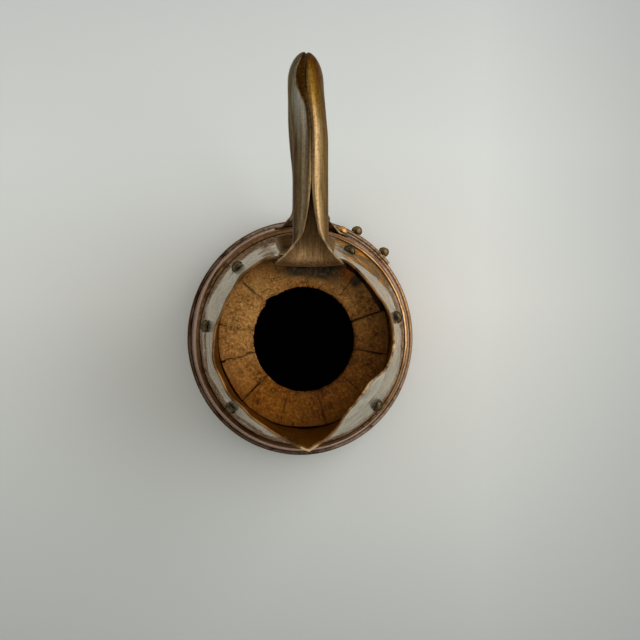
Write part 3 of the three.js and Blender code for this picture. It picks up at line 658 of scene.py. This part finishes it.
strip = np.linspace(LAP_FROM, 360 + LAP_TO - LAP_HIDDEN, STRIP_COLUMNS)[:, None]
layer = FOOT_HOOP_SHEET + GAP
lift = GAP + layer * (1 - ramp(strip, LAP_TO, LAP_TO + LAP_RAMP))
half = FOOT_HOOP_SHEET / 2
into_edge = np.linspace(0, half, 5)
strip_up = FOOT_HOOP_FROM + np.concatenate([
    into_edge, np.linspace(half, FOOT_HOOP_WIDTH - half, 22)[1:-1], FOOT_HOOP_WIDTH - into_edge[::-1],
])
swell = round_edge(np.minimum(strip_up - FOOT_HOOP_FROM, FOOT_HOOP_TOP - strip_up), half, half)
foot_dent = 0.08 * ring_waves(41, 12, strip, strip_up, 60)
middle = body_radius(strip, strip_up) + lift + half + foot_dent - 0.08
outer = polar(middle + swell, strip, strip_up)
inner = polar(middle - swell, strip, strip_up)[:, ::-1]
dark_copper = sheet_copper("darkened_foot_copper", "#b88a54", "#7e5c34", "#2c1e10", 0.3, "#dcb88c")
foot_loops = np.concatenate([outer, inner], axis=1)
dull_below = FOOT_HOOP_DULL_TO + ring_waves(42, 18, strip, 0, 1)
polished = 0.85 * around(strip, 15, 70) + 0.3 * around(strip, 118, 14)
foot_z = foot_loops[:, :, 2]
foot_tarnish = (1.15 - 0.15 * ramp(foot_z, dull_below - 3, dull_below + 3)) * (1 - polished)
inner_edge = np.arange(foot_loops.shape[1]) >= outer.shape[1]
# Pale top edge: partly rubbing, partly a painted reflection.
scuffed = (0.65 + 0.35 * inner_edge) * ramp(foot_z, FOOT_HOOP_TOP - 1.2, FOOT_HOOP_TOP - 0.4)
scuffed = scuffed * (1 - 0.85 * around(strip, 15, 70))
foot = solid("lapped_foot_hoop", foot_loops, False, tarnish=foot_tarnish, scuffed=scuffed)
fit(foot, "foot_hoop", dark_copper)

# Forged iron: dark brown oxide, rubbed to a soft gloss on the heads, with small hammer flats
iron, iron_tree, place = material("forged_iron_nails")
scale_marks = noise(iron_tree, place, 2.4, 4)
iron_colour = tones(iron_tree, scale_marks, [(0.38, "#30281c"), (0.62, "#5c5038")])
# The brassy share tints a head golden: a little on each rivet, and much on one wing nail, where the gold is
# partly brass and partly a painted highlight.
brassy = painted(iron_tree, "brassy")
iron_colour = blend(iron_tree, brassy, iron_colour, "#d09a50")
iron_rough = remap(iron_tree, scale_marks, 0.35, 0.65, 0.22, 0.42)
iron_bump = bump(iron_tree, scale_marks, 0.3, 0.0003)
finish_material(iron_tree, Base_Color=iron_colour, Metallic=0.85, Roughness=iron_rough, Normal=iron_bump,
                Specular_Tint="#8a7c66")


def outside_frame(angle, height, lift):
    """Origin and three axes of a place on the vessel: sideways, upward along the wall, and straight out of
    it, which is the cross product of the first two. The origin is lifted along the last."""
    here = polar(body_radius(angle, height), angle, height)
    upward = polar(body_radius(angle, height + 0.5), angle, height + 0.5) - here
    sideways = polar(body_radius(angle + 0.5, height), angle + 0.5, height) - here
    out = np.cross(sideways, upward)
    out = out / np.linalg.norm(out)
    sideways = sideways / np.linalg.norm(sideways)
    return here + lift * out, np.array([sideways, np.cross(out, sideways), out])


def headed(name, seed, profile, place, brassy=0.0):
    """Nail or rivet: rings of a profile's radii and heights round the place's outward axis, with the head
    knocked a little out of round by waves over the turn and the height."""
    turn = np.radians(np.linspace(0, 360, 40, endpoint=False))
    radius, height = (column[:, None] for column in profile)
    head = ramp(height, -0.2, 0.5)
    knocked = 0.03 * np.sin(2 * turn + seed) + 0.02 * np.sin(3 * turn + 2 * seed + height)
    knocked = radius * (1 + head * knocked)
    risen = height * (1 - 0.04 * head * np.cos(turn + seed))
    local = np.stack(np.broadcast_arrays(knocked * np.cos(turn), knocked * np.sin(turn), risen), axis=-1)
    origin, axes = place
    return solid(name, local @ axes + origin, False, brassy=brassy)


def head_profile(radius, rise, foot_angle, depth):
    """Radius and height of rings from the head's top down its ellipse, in under it and along the shank. The
    ellipse ends at foot_angle below its widest line."""
    tall = rise if foot_angle == 0 else radius
    a = np.radians(np.linspace(88, -foot_angle, 20))
    dome_radius, dome_height = radius * np.cos(a), rise - tall + tall * np.sin(a)
    shank_radius = [SHANK_RADIUS, SHANK_RADIUS, 0.3 * SHANK_RADIUS]
    shank_height = [dome_height[-1], 1 - depth, -depth]
    return np.concatenate([dome_radius, shank_radius]), np.concatenate([dome_height, shank_height])


lap_thickness = 2 * FOOT_HOOP_SHEET + GAP
rivet_foot = np.degrees(np.arcsin((RIVET_RISE - RIVET_RADIUS) / RIVET_RADIUS))
rivet_profile = head_profile(RIVET_RADIUS, RIVET_RISE, rivet_foot, lap_thickness + GAP)
for k, angle in enumerate(HOOP_RIVET_ANGLES):
    place = outside_frame(angle, FOOT_HOOP_FROM + FOOT_HOOP_WIDTH / 2, GAP + lap_thickness + GAP)
    rivet = headed(f"round_rivet_{k + 1:02d}", k, rivet_profile, place, RIVET_RUB)
    fit(rivet, f"hoop_rivet_{k + 1:02d}", iron)


# Nails
# Short iron nails with domed heads hold the collar, the plate and the wings of the handle to the staves.
NAIL_RADIUS = 3.3
NAIL_RISE = 3
SHANK_LENGTH = 13
PLATE_NAILS = [(93, 133), (80, 133)]
PLATE_SHEET = 1
PLATE_GAP = 0.5
HANDLE_OFFSET = 2.9
HANDLE_SHEET = 1.2
WING_NAILS = [(21.5, 42), (6, 36), (-3.5, 46)]

nail_profile = head_profile(NAIL_RADIUS, NAIL_RISE, 0, SHANK_LENGTH + GAP)
wing_places = [
    (np.degrees(np.arccos((HANDLE_OFFSET + side) / body_radius(90, z))), z) for side, z in WING_NAILS
]
nailed = [
    ("collar_nail", COLLAR_NAILS, GAP),
    ("plate_nail", PLATE_NAILS, PLATE_GAP + PLATE_SHEET + GAP),
    ("wing_nail", wing_places, GAP + HANDLE_SHEET + GAP),
]
for kind, places, lift in nailed:
    for k, (angle, height) in enumerate(places):
        # One wing nail is tinted golden, partly brass and partly a painted highlight.
        brass_and_highlight = 0.7 if (kind, k) == ("wing_nail", 0) else 0.0
        place = outside_frame(angle, height, lift)
        nail = headed(f"domed_{kind}_{k + 1:02d}", 3 * k + lift, nail_profile, place, brass_and_highlight)
        fit(nail, f"{kind}_{k + 1:02d}", iron)


# Plate under the handle
# A bronze-coloured sheet on the collar's back, its lower corners rounded, with two nails. It is dull brown,
# rubbed at the right and grimy at the left, and its edges are painted bright as a highlight.
PLATE_FROM = 121
PLATE_LEFT, PLATE_RIGHT = 106, 71
PLATE_CORNER = 9
PLATE_GRIMY_AT = 105
PLATE_BRIGHT_EDGE = 1.4

across = np.linspace(-1, 1, 90)[:, None]
plate_angle = (PLATE_LEFT + PLATE_RIGHT) / 2 - across * (PLATE_LEFT - PLATE_RIGHT) / 2
half_width = np.radians((PLATE_LEFT - PLATE_RIGHT) / 2) * outline(PLATE_FROM)
into_corner = np.clip(np.abs(across) * half_width - (half_width - PLATE_CORNER), 0, PLATE_CORNER)
plate_low = PLATE_FROM + PLATE_CORNER - np.sqrt(PLATE_CORNER**2 - into_corner**2)
plate_share = np.linspace(0, 1, 70)
plate_heights = plate_low + (rim_height(plate_angle) - plate_low) * plate_share
plate_middle = collar_radius(plate_angle, plate_heights) + PLATE_GAP + PLATE_SHEET / 2
edge_away = np.minimum(np.minimum((1 - np.abs(across)) * half_width, plate_heights - plate_low),
                       (1 - plate_share) * 50)
plate_half = round_edge(edge_away, PLATE_SHEET / 2, PLATE_SHEET / 2)
plate_outer = polar(plate_middle + plate_half, plate_angle, plate_heights)
plate_inner = polar(plate_middle - plate_half, plate_angle, plate_heights)[:, ::-1]
# Painted highlight along the plate's edges.
plate_edge = np.exp(-edge_away / PLATE_BRIGHT_EDGE)
plate_edge = np.concatenate([plate_edge, plate_edge[:, ::-1]], axis=1)


def bronze(name, dull, clean, roughness, shine):
    """Material of a bronze sheet: a brown skin that is part oxide, thinner and golden where hands rub, dull
    inside the roll, with fine drawing lines and dirt in the folds. Painted reflections lie on it as well,
    pale grey, golden and dark brown, and its edges are painted bright as highlights. The masks come from the
    piece's attributes."""
    made, tree, place = material(name)
    clouds = noise(tree, place, 12, 5, 0.6)
    specks = noise(tree, place, 1.1, 5, 0.7)
    lines = node(tree, "Mapping", {"Vector": place, "Scale": (1, 0.04, 0.3)})
    drawn = noise(tree, lines, 0.8, 3)
    colour = tones(tree, clouds, [(0.32, dull), (0.68, clean)])
    rough = remap(tree, drawn, 0.3, 0.7, roughness * 0.8, roughness * 1.25)
    metal = 0.85
    # The pale grey, golden and dark brown layers carry painted reflections; the bright edge layer is a
    # painted highlight.
    layers = [
        ("painted_pale_reflection", "#aaa8a0", 1.0, 0.25), ("rubbed", "#a88c62", 0.9, 0.32), ("gold", "#8f6a2c", 0.95, 0.32),
        ("sunk", "#3a2204", 0.9, 0.35), ("inner", "#b99668", 0.5, 0.5), ("umber", "#765330", 0.4, 0.5),
        ("dirt", "#20150b", 0.2, 0.6), ("edge", "#b39a76", 0.8, 0.4),
    ]
    broken = remap(tree, specks, 0.3, 0.7, 1.25, 0.75)
    for mask, tone, layer_metal, layer_rough in layers:
        amount = painted(tree, mask)
        share = maths(tree, "MULTIPLY", amount, broken, clamp=True)
        colour = blend(tree, share, colour, tone)
        metal = node(tree, "Mix", {0: share, 2: metal, 3: layer_metal})
        rough = node(tree, "Mix", {0: share, 2: rough, 3: layer_rough})
    streaked = tones(tree, drawn, [(0.36, "#c4bbaf"), (0.55, "#ffffff")])
    speckled = tones(tree, specks, [(0.34, "#a89c8c"), (0.55, "#ffffff")])
    for pattern in (streaked, speckled):
        colour = blend(tree, 0.75, colour, pattern, "MULTIPLY")
    dents = noise(tree, place, 14, 1)
    uneven = bump(tree, dents, 0.3, 0.001)
    grooves = bump(tree, drawn, 0.25, 0.00006, Normal=uneven)
    finish_material(tree, Base_Color=colour, Metallic=metal, Roughness=rough, Normal=grooves,
                    Specular_Tint="#8c7a60", Specular_IOR_Level=shine)
    return made


plate_bronze = bronze("dull_bronze_plate", "#3c2e17", "#6e5833", 0.45, 0.0)
plate = solid("bronze_handle_plate", np.concatenate([plate_outer, plate_inner], axis=1), False,
              edge=plate_edge, rubbed=ramp(across, 0.2, 0.6), umber=0.9 - 0.5 * ramp(across, 0.2, 0.6),
              dirt=0.85 * around(plate_angle, PLATE_GRIMY_AT, 10))
fit(plate, "handle_plate", plate_bronze)


# Handle
# One bronze sheet rolled to a tube, with the seam along the outside of the loop. The upper end opens to a
# tongue over the saddle, the lower end to two wings nailed on the body.
HANDLE_HALF_WIDTH = 7.5
HANDLE_HALF_DEPTH = 11.4
HANDLE_EGG = 0.16
HANDLE_FOOT_DEPTH = 5.5
HANDLE_REACH = 118.6
HANDLE_GRIP_HEIGHT = 174.4
HANDLE_BOW = 2.1
HANDLE_BOW_LENGTH = 29
SEAM_GAP = 0.1
LEFT_CREASE = 1.3
LEFT_CREASE_SPREAD = 3
FAR_END_SWELL = 0.05
RIGHT_CREASE = 1.8
LEFT_SLOPE, RIGHT_SLOPE = 0.14, 0.35
HAMMERED = 0.35
SEAM_SUNK = 1.5
TONGUE_LEFT, TONGUE_RIGHT = 16.9, 15.7
TONGUE_DISH = 5.5
TONGUE_LIP = 0.9
TONGUE_OPENS = 38
TONGUE_FLARES = 14
TONGUE_FLARE = 0.55
SADDLE_LINE = [(-4.1, -1), (-2.8, 1), (0, 2.4), (5, 2.7), (17, 0.8)]
GRIP_LINE = [(-46, 0), (-28, 0), (-14, -1.5), (-4.5, -7.5), (-0.4, -18)]
LEG_LINE = [(-1.2, 0.25), (-8, 0.43), (-19, 0.61), (-32, 0.78), (-44, 0.92)]
WING_LEFT, WING_RIGHT = 18.5, 25
WING_TOP, WING_BOTTOM = 53, 31
WING_OPENS, WING_SETTLES = 14, 4
HANDLE_THINS = 60
HANDLE_ROWS = 420
HANDLE_ACROSS = 96
ACROSS_CROWDED = 1.35
FAR_END_ABOVE = 160


def smooth_path(points, count):
    """Points evenly spaced along a centripetal Catmull-Rom curve: between two given points it is the cubic
    whose tangents weigh the neighbouring chords by the square roots of their lengths. Returns them with
    their distances along the curve and their unit tangents."""
    ends = [2 * points[0] - points[1], *points, 2 * points[-1] - points[-2]]
    p = np.array(ends)
    knots = np.sqrt(np.linalg.norm(np.diff(p, axis=0), axis=1))
    chord = np.diff(p, axis=0) / knots[:, None]
    corner = (p[2:] - p[:-2]) / (knots[1:] + knots[:-1])[:, None]
    tangent = chord[:-1] - corner + chord[1:]
    t = np.linspace(0, 1, 60, endpoint=False)[:, None, None]
    a, b = p[1:-2], p[2:-1]
    ta, tb = tangent[:-1] * knots[1:-1, None], tangent[1:] * knots[1:-1, None]
    curve = (1 + 2 * t) * (1 - t) ** 2 * a + t * (1 - t) ** 2 * ta
    curve = curve + t * t * (3 - 2 * t) * b - t * t * (1 - t) * tb
    curve = np.concatenate([curve.transpose(1, 0, 2).reshape(-1, 2), p[-2:-1]])
    along = np.concatenate([[0], np.cumsum(np.linalg.norm(np.diff(curve, axis=0), axis=1))])
    even = np.linspace(0, along[-1], count)
    path = np.stack([np.interp(even, along, curve[:, k]) for k in range(2)], axis=-1)
    direction = np.gradient(path, axis=0)
    return path, even, direction / np.linalg.norm(direction, axis=1)[:, None]


saddle_height = RIM_HEIGHT - SADDLE_DEPTH
back_radius = collar_radius(np.array(90.0), np.array(saddle_height))
drop = HANDLE_GRIP_HEIGHT - WING_TOP
spine = [(back_radius + out, saddle_height + up) for out, up in SADDLE_LINE]
spine += [(HANDLE_REACH + out, HANDLE_GRIP_HEIGHT + up) for out, up in GRIP_LINE]
spine += [(HANDLE_REACH + out, HANDLE_GRIP_HEIGHT - share * drop) for out, share in LEG_LINE]
spine += [(body_radius(90, z) + GAP + HANDLE_SHEET / 2, z) for z in np.linspace(WING_TOP, WING_BOTTOM, 3)]
path, along, direction = smooth_path([np.array(point, float) for point in spine], HANDLE_ROWS)
v = np.sin(np.linspace(-1, 1, HANDLE_ACROSS) * ACROSS_CROWDED) / np.sin(ACROSS_CROWDED)

slow = np.clip(1 - along / TONGUE_OPENS, 0, None) ** 2
as_tongue = (slow + (1 - ramp(along, 2, TONGUE_FLARES) - slow) * TONGUE_FLARE)[:, None]
wing_start = along[-1] - (WING_TOP - WING_BOTTOM)
as_wing = ramp(along, wing_start - WING_OPENS, wing_start + WING_SETTLES)[:, None]
thinned = ramp(along, wing_start - HANDLE_THINS, wing_start)[:, None]
half_depth = HANDLE_HALF_DEPTH + (HANDLE_FOOT_DEPTH - HANDLE_HALF_DEPTH) * thinned
half_turn = (np.pi - np.arcsin(SEAM_GAP / 2 / HANDLE_HALF_WIDTH)) * v
tube_x = HANDLE_HALF_WIDTH * np.sin(half_turn) * (1 + HANDLE_EGG * np.cos(half_turn))
tube_rise = half_depth * (1 - np.cos(half_turn))

# Both lips of the seam are hammered flat from a crease inward. The left crease swings out at the far end.
seam_y = path[:, :1] - 2 * half_depth * direction[:, 1:]
far_end = ramp(seam_y, 103, 120) * (1 - ramp(seam_y, 124, 137)) * (path[:, 1:] > FAR_END_ABOVE)
crease = np.where(v < 0, LEFT_CREASE + LEFT_CREASE_SPREAD * far_end, RIGHT_CREASE)
tube_x = tube_x * (1 + FAR_END_SWELL * ramp(seam_y, 100, 120))
crease_turn = np.pi - np.arcsin(crease / HANDLE_HALF_WIDTH)
slope = np.where(v < 0, LEFT_SLOPE, RIGHT_SLOPE * ramp(seam_y, 90, 112))
crease_rise = half_depth * (1 - np.cos(crease_turn)) - slope * (crease - np.abs(tube_x))
flattened = (np.abs(v) > 0.5) & (np.abs(tube_x) < crease)
tube_rise = np.where(flattened, np.minimum(tube_rise, crease_rise), tube_rise)
knocks = 0.5 + 0.3 * waves(51, along[:, None] / 30, v * 1.5)
pressed = SEAM_SUNK + HAMMERED * np.clip(knocks, 0, 1)
tube_rise = tube_rise - pressed * np.clip(tube_rise / half_depth, 0, 1)
wing_x = np.where(v < 0, WING_LEFT, WING_RIGHT) * v
wing_rise = -(wing_x**2) / body_radius(90, WING_BOTTOM)
as_tube = 1 - as_tongue - as_wing
rise = as_tube * tube_rise + as_wing * wing_rise
handle_y = path[:, :1] - direction[:, 1:] * rise
handle_z = path[:, 1:] + direction[:, :1] * rise
bow = HANDLE_BOW * ramp(handle_y, HANDLE_REACH - HANDLE_BOW_LENGTH, HANDLE_REACH)
handle_x = HANDLE_OFFSET - bow + as_tube * tube_x
handle_x = handle_x + as_tongue * np.where(v < 0, TONGUE_LEFT, TONGUE_RIGHT) * v + as_wing * wing_x
handle_y = handle_y + as_tongue * TONGUE_LIP * v * v
handle_z = handle_z + as_tongue * TONGUE_DISH * v * v
grid = np.stack([handle_x, handle_y, handle_z], axis=-1)

# Wings that would lie in the body are brought out to its surface
angle = np.degrees(np.arctan2(grid[..., 1], grid[..., 0]))
least = body_radius(angle, grid[..., 2]) + GAP + HANDLE_SHEET / 2
reach = np.hypot(grid[..., 0], grid[..., 1])
sunk = ((grid[..., 2] < WAIST_HEIGHT) & (reach < least))[..., None]
grid = np.where(sunk, polar(least, angle, grid[..., 2]), grid)

normal = np.cross(np.gradient(grid, axis=0), np.gradient(grid, axis=1))
normal = normal / np.linalg.norm(normal, axis=-1, keepdims=True)
step = np.linalg.norm(np.diff(grid, axis=1), axis=-1)
from_left = np.concatenate([np.zeros((HANDLE_ROWS, 1)), np.cumsum(step, axis=1)], axis=1)
side_away = np.minimum(from_left, from_left[:, -1:] - from_left)
end_away = np.minimum(along, along[-1] - along)[:, None]
away = np.minimum(side_away, end_away)
half = HANDLE_SHEET / 2
rounding = half * np.clip(1 - 0.8 * as_tube, 0.2, 1)
swell = round_edge(away, half, rounding, 0.03)[..., None]
outer_face = grid + normal * swell
inner_face = (grid - normal * swell)[:, ::-1]
handle_loops = np.concatenate([outer_face, inner_face], axis=1)
on_roll = as_tube * ramp(np.abs(v), 0.15, 0.35) * ramp(handle_z, 80, 130)
right_of_crease = on_roll * ramp(tube_x, -crease - 0.1, -crease + 0.3)
toward_end = ramp(seam_y, 92, 116)
tongue_face = 1 - ramp(along, 26, 46)[:, None]
# The roll's colours are partly painted reflection: pale grey on the left flank toward the far end, lighter
# golden right of the left crease, which is partly rubbing, and dark brown beside the seam. The edges, most of
# all the tongue's, are painted bright as highlights.
both = {
    "painted_pale_reflection": on_roll * (ramp(seam_y, 78, 126) - right_of_crease) * (v < 0)
    + 0.6 * toward_end * ramp(tube_x, 6, 7.5),
    "rubbed": right_of_crease * (1 - 0.3 * toward_end),
    "gold": right_of_crease * toward_end * (1 - ramp(tube_x, 4, 7)),
    "sunk": right_of_crease * (1 - ramp(tube_x, -0.2, 1.8)) * (0.35 + 0.65 * ramp(seam_y, 70, 100)),
    "dirt": 0.5 * toward_end * np.exp(-side_away / 0.3) * as_tube * (np.abs(v) > 0.5),
    "edge": np.exp(-away / (0.45 + 0.4 * as_tongue)) * np.clip(1.4 * as_tongue + 0.2, 0, 1),
}
masks = {name: np.clip(np.concatenate([mask, mask[:, ::-1]], axis=1), 0, 1) for name, mask in both.items()}
lower_band = ramp(along, 5.5, 2.5)[:, None]
corners = 0.9 * np.abs(v) ** 3 + 0.45 * around(v * 90, 38, 22) * (1 - lower_band)
for name, mask in (("inner", tongue_face + 0 * v), ("umber", tongue_face * (lower_band + corners))):
    masks[name] = np.clip(np.concatenate([0 * mask, mask[:, ::-1]], axis=1), 0, 1)
handle_bronze = bronze("hand_rubbed_bronze", "#62543f", "#7f7057", 0.22, 0.2)
handle = solid("rolled_bronze_handle", handle_loops, False, **masks)
fit(handle, "handle", handle_bronze)


# Surroundings
# A pale paper floor, a broad soft lamp from the right and a room that is bright at eye level and dim above.
LAMP_PLACE = Vector((1.15, 0.45, 1.0))
LAMP_AIM = Vector((0, 0, 0.1))
LAMP_SIZE = 1.7
LAMP_POWER = 17
FLOOR_HALF = 3
ROOM_COLOUR = "#f2f1ec"
ROOM_AT_EYE_LEVEL, ROOM_ABOVE = 1.25, 0.32

paper, paper_tree, place = material("pale_paper_floor")
# The paper's colour carries painted shade, darker toward the front and the back and at the right, and painted
# light, paler far off.
forward_way = node(paper_tree, "SeparateXYZ", {0: place}, out="Y")
shading = remap(paper_tree, forward_way, -0.25, 0.25, 0.0, 1.0)
paper_colour = tones(paper_tree, shading, [
    (0.0, "#acafae"), (0.28, "#cdd1cd"), (0.55, "#e6e8e4"), (0.75, "#e3e7e4"), (1.0, "#cdd1d0"),
])
sideways = node(paper_tree, "SeparateXYZ", {0: place}, out="X")
shaded_side = remap(paper_tree, sideways, 0.12, 0.22, 0.0, 0.5)
paper_colour = blend(paper_tree, shaded_side, paper_colour, "#9da19f")
distance = node(paper_tree, "VectorMath", {0: place}, out="Value", operation="LENGTH")
painted_light_far_off = remap(paper_tree, distance, 0.4, 1.6, 0.0, 1.0)
paper_colour = blend(paper_tree, painted_light_far_off, paper_colour, "#f6f6f4")
finish_material(paper_tree, Base_Color=paper_colour, Roughness=0.9)
floor_mesh = bpy.data.meshes.new("paper_floor")
corners = [(x * FLOOR_HALF, y * FLOOR_HALF, 0) for x, y in ((-1, -1), (1, -1), (1, 1), (-1, 1))]
floor_mesh.from_pydata(corners, [], [(0, 1, 2, 3)])
floor_mesh.materials.append(paper)
floor = bpy.data.objects.new("paper_floor", floor_mesh)
bpy.context.collection.objects.link(floor)

lamp_data = bpy.data.lights.new("window_lamp", "AREA")
lamp_data.size = LAMP_SIZE
lamp_data.energy = LAMP_POWER
lamp = bpy.data.objects.new("window_lamp", lamp_data)
lamp.location = LAMP_PLACE
lamp.rotation_mode = "QUATERNION"
lamp.rotation_quaternion = (LAMP_AIM - LAMP_PLACE).to_track_quat("-Z", "Y")
bpy.context.collection.objects.link(lamp)

world = bpy.data.worlds.new("room")
bpy.context.scene.world = world
world.use_nodes = True
world_tree = world.node_tree
ray = node(world_tree, "TexCoord", {}, out="Generated")
upward = node(world_tree, "SeparateXYZ", {0: ray}, out="Z")
brightness = remap(world_tree, upward, 0.0, 1.0, ROOM_AT_EYE_LEVEL, ROOM_ABOVE)
world_tree.links.new(brightness, world_tree.nodes["Background"].inputs["Strength"])
world_tree.nodes["Background"].inputs["Color"].default_value = linear(ROOM_COLOUR)
